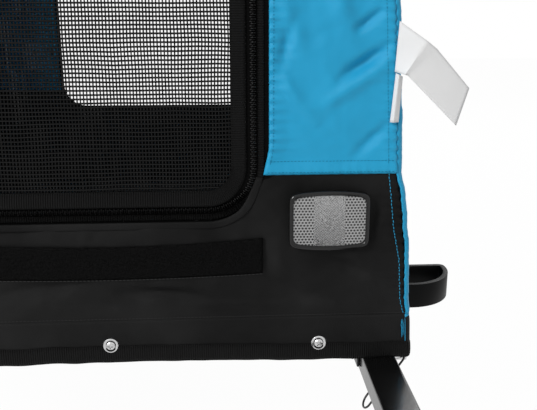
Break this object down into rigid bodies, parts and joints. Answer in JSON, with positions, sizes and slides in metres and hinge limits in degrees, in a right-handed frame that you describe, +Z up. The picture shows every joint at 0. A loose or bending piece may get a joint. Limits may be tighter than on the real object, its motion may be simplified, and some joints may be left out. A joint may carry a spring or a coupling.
{
  "type": "dog bike trailer",
  "caption": "Two-wheeled dog trailer towed by a bicycle: folding tube frame under a cloth cabin with a net front door, an open rear doorway and a side tow bar.",
  "frame": {"origin": "on the ground, below the centre of the overall box", "axes": "+X to the trailer's own left, -Y forward along the tow bar, +Z up"},
  "size_m": [0.8086, 1.3, 0.811],
  "materials": {
    "frame_paint": "satin black paint",
    "bar_paint": "gloss black paint",
    "bright_steel": "bright nickel plate",
    "wire_steel": "black wire",
    "black_cloth": "plain woven, coated",
    "blue_cloth": "plain woven, coated",
    "black_net": "coated yarn net",
    "black_webbing": "ribbed tape",
    "hook_loop": "brushed loop pile",
    "zip_black": "nylon coil",
    "black_plastic": "moulded",
    "clear_lens": "clear prism lens",
    "red_lens": "red prism lens",
    "white_label": "woven satin, blank",
    "tyre_rubber": "moulded rubber",
    "rim_alloy": "satin alloy",
    "spoke_steel": "drawn wire",
    "floor_panel": "ribbed board",
    "bow_rod": "drawn glass fibre rod",
    "nylon": "moulded nylon"
  },
  "bodies": {
    "root": {"base_cross_tubes": "frame_paint", "base_side_rails": "frame_paint", "floor_board": "floor_panel", "axle_tube": "frame_paint", "axle_bushes": "nylon", "wheel_guards": "black_plastic", "guard_bolts": "bright_steel", "hinge_brackets": "frame_paint", "hinge_pins": "bright_steel", "tow_receiver": "frame_paint", "tow_bar": "bar_paint", "hitch_tongue": "nylon", "front_lower_panel": "black_cloth", "rear_lower_panel": "black_cloth", "front_side_panels": "blue_cloth", "rear_side_panels": "blue_cloth", "door_headers": "blue_cloth", "left_side_panel": "blue_cloth", "right_side_panel": "blue_cloth", "roof_panel": "blue_cloth", "window_nets": "black_net", "roof_bows": "bow_rod", "hem_bindings": "black_webbing", "hook_loop_strip": "hook_loop", "front_zip_coil": "zip_black", "reflector_frames": "black_plastic", "front_lenses": "clear_lens", "rear_lenses": "red_lens", "hem_screws": "bright_steel", "cup_washers": "bright_steel", "corner_labels": "white_label", "rain_cover_roll": "blue_cloth", "rear_door_roll": "black_net", "roll_straps": "black_webbing"},
    "left_frame": {"left_posts": "frame_paint", "left_top_rail": "frame_paint"},
    "right_frame": {"right_posts": "frame_paint", "right_top_rail": "frame_paint"},
    "front_door": {"front_door_net": "black_net", "front_door_binding": "black_webbing"},
    "zip_slider": {"zip_slider": "zip_black"},
    "zip_pull": {"zip_pull": "zip_black"},
    "lock_pin": {"lock_pin": "bright_steel"},
    "lock_pin_bail": {"lock_pin_bail": "wire_steel"},
    "hitch_yoke": {"hitch_yoke": "nylon", "yaw_pin": "bright_steel", "pitch_bolt": "bright_steel"},
    "hitch_plate": {"hitch_plate": "bright_steel"},
    "left_axle": {"left_axle_pin": "bright_steel"},
    "left_wheel": {"left_tyre": "tyre_rubber", "left_rim": "rim_alloy", "left_spokes": "spoke_steel", "left_hub": "black_plastic"},
    "left_button": {"left_button": "black_plastic"},
    "right_axle": {"right_axle_pin": "bright_steel"},
    "right_wheel": {"right_tyre": "tyre_rubber", "right_rim": "rim_alloy", "right_spokes": "spoke_steel", "right_hub": "black_plastic"},
    "right_button": {"right_button": "black_plastic"}
  },
  "joints": [
    {"name": "frame_fold", "type": "hinge", "parent": "root", "child": "left_frame", "pos_m": [0.2915, 0.27695, 0.283], "axis": [0, -1, 0], "range_deg": [0, 85.8], "deforming": ["front_lower_panel", "rear_lower_panel", "front_side_panels", "rear_side_panels", "door_headers", "left_side_panel", "right_side_panel", "roof_panel", "window_nets", "roof_bows", "hook_loop_strip", "front_zip_coil", "rain_cover_roll", "rear_door_roll", "roll_straps", "corner_labels"]},
    {"name": "right_frame_fold", "type": "hinge", "parent": "root", "child": "right_frame", "pos_m": [-0.29311, 0.27695, 0.261], "axis": [0, 1, 0], "range_deg": [0, 85.8]},
    {"name": "front_door_open", "type": "hinge", "parent": "root", "child": "front_door", "pos_m": [0, -0.05805, 0.75], "axis": [-1, 0, 0], "range_deg": [0, 90]},
    {"name": "zip_slide", "type": "slide", "parent": "root", "child": "zip_slider", "axis": [0, 0, -1], "range_m": [0, 0.285]},
    {"name": "zip_pull_flip", "type": "hinge", "parent": "zip_slider", "child": "zip_pull", "pos_m": [0.15, -0.06225, 0.7215], "axis": [-1, 0, 0], "range_deg": [0, 160]},
    {"name": "lock_pin_pull", "type": "slide", "parent": "root", "child": "lock_pin", "axis": [1, 0, 0], "range_m": [0, 0.06]},
    {"name": "bail_swing", "type": "hinge", "parent": "lock_pin", "child": "lock_pin_bail", "pos_m": [0.31685, -0.02805, 0.1935], "axis": [0, -1, 0], "range_deg": [0, 100]},
    {"name": "hitch_yaw", "type": "hinge", "parent": "root", "child": "hitch_yoke", "pos_m": [0.12, -0.54805, 0.3035], "axis": [0, 0, 1], "range_deg": [-70, 70]},
    {"name": "hitch_pitch", "type": "hinge", "parent": "hitch_yoke", "child": "hitch_plate", "pos_m": [0.1127, -0.58605, 0.3035], "axis": [1, 0, 0], "range_deg": [-40, 40]},
    {"name": "left_axle_release", "type": "slide", "parent": "root", "child": "left_axle", "axis": [1, 0, 0], "range_m": [0, 0.075]},
    {"name": "left_wheel_spin", "type": "hinge", "parent": "left_axle", "child": "left_wheel", "pos_m": [0.353, 0.41695, 0.2], "axis": [1, 0, 0], "continuous": true},
    {"name": "left_button_press", "type": "slide", "parent": "left_axle", "child": "left_button", "axis": [-1, 0, 0], "range_m": [0, 0.003], "stiffness_N_per_m": 400},
    {"name": "right_axle_release", "type": "slide", "parent": "root", "child": "right_axle", "axis": [-1, 0, 0], "range_m": [0, 0.075]},
    {"name": "right_wheel_spin", "type": "hinge", "parent": "right_axle", "child": "right_wheel", "pos_m": [-0.353, 0.41695, 0.2], "axis": [1, 0, 0], "continuous": true},
    {"name": "right_button_press", "type": "slide", "parent": "right_axle", "child": "right_button", "axis": [1, 0, 0], "range_m": [0, 0.003], "stiffness_N_per_m": 400}
  ],
  "couplings": [
    {"joint": "right_frame_fold", "follows": "frame_fold", "ratio": 1}
  ]
}
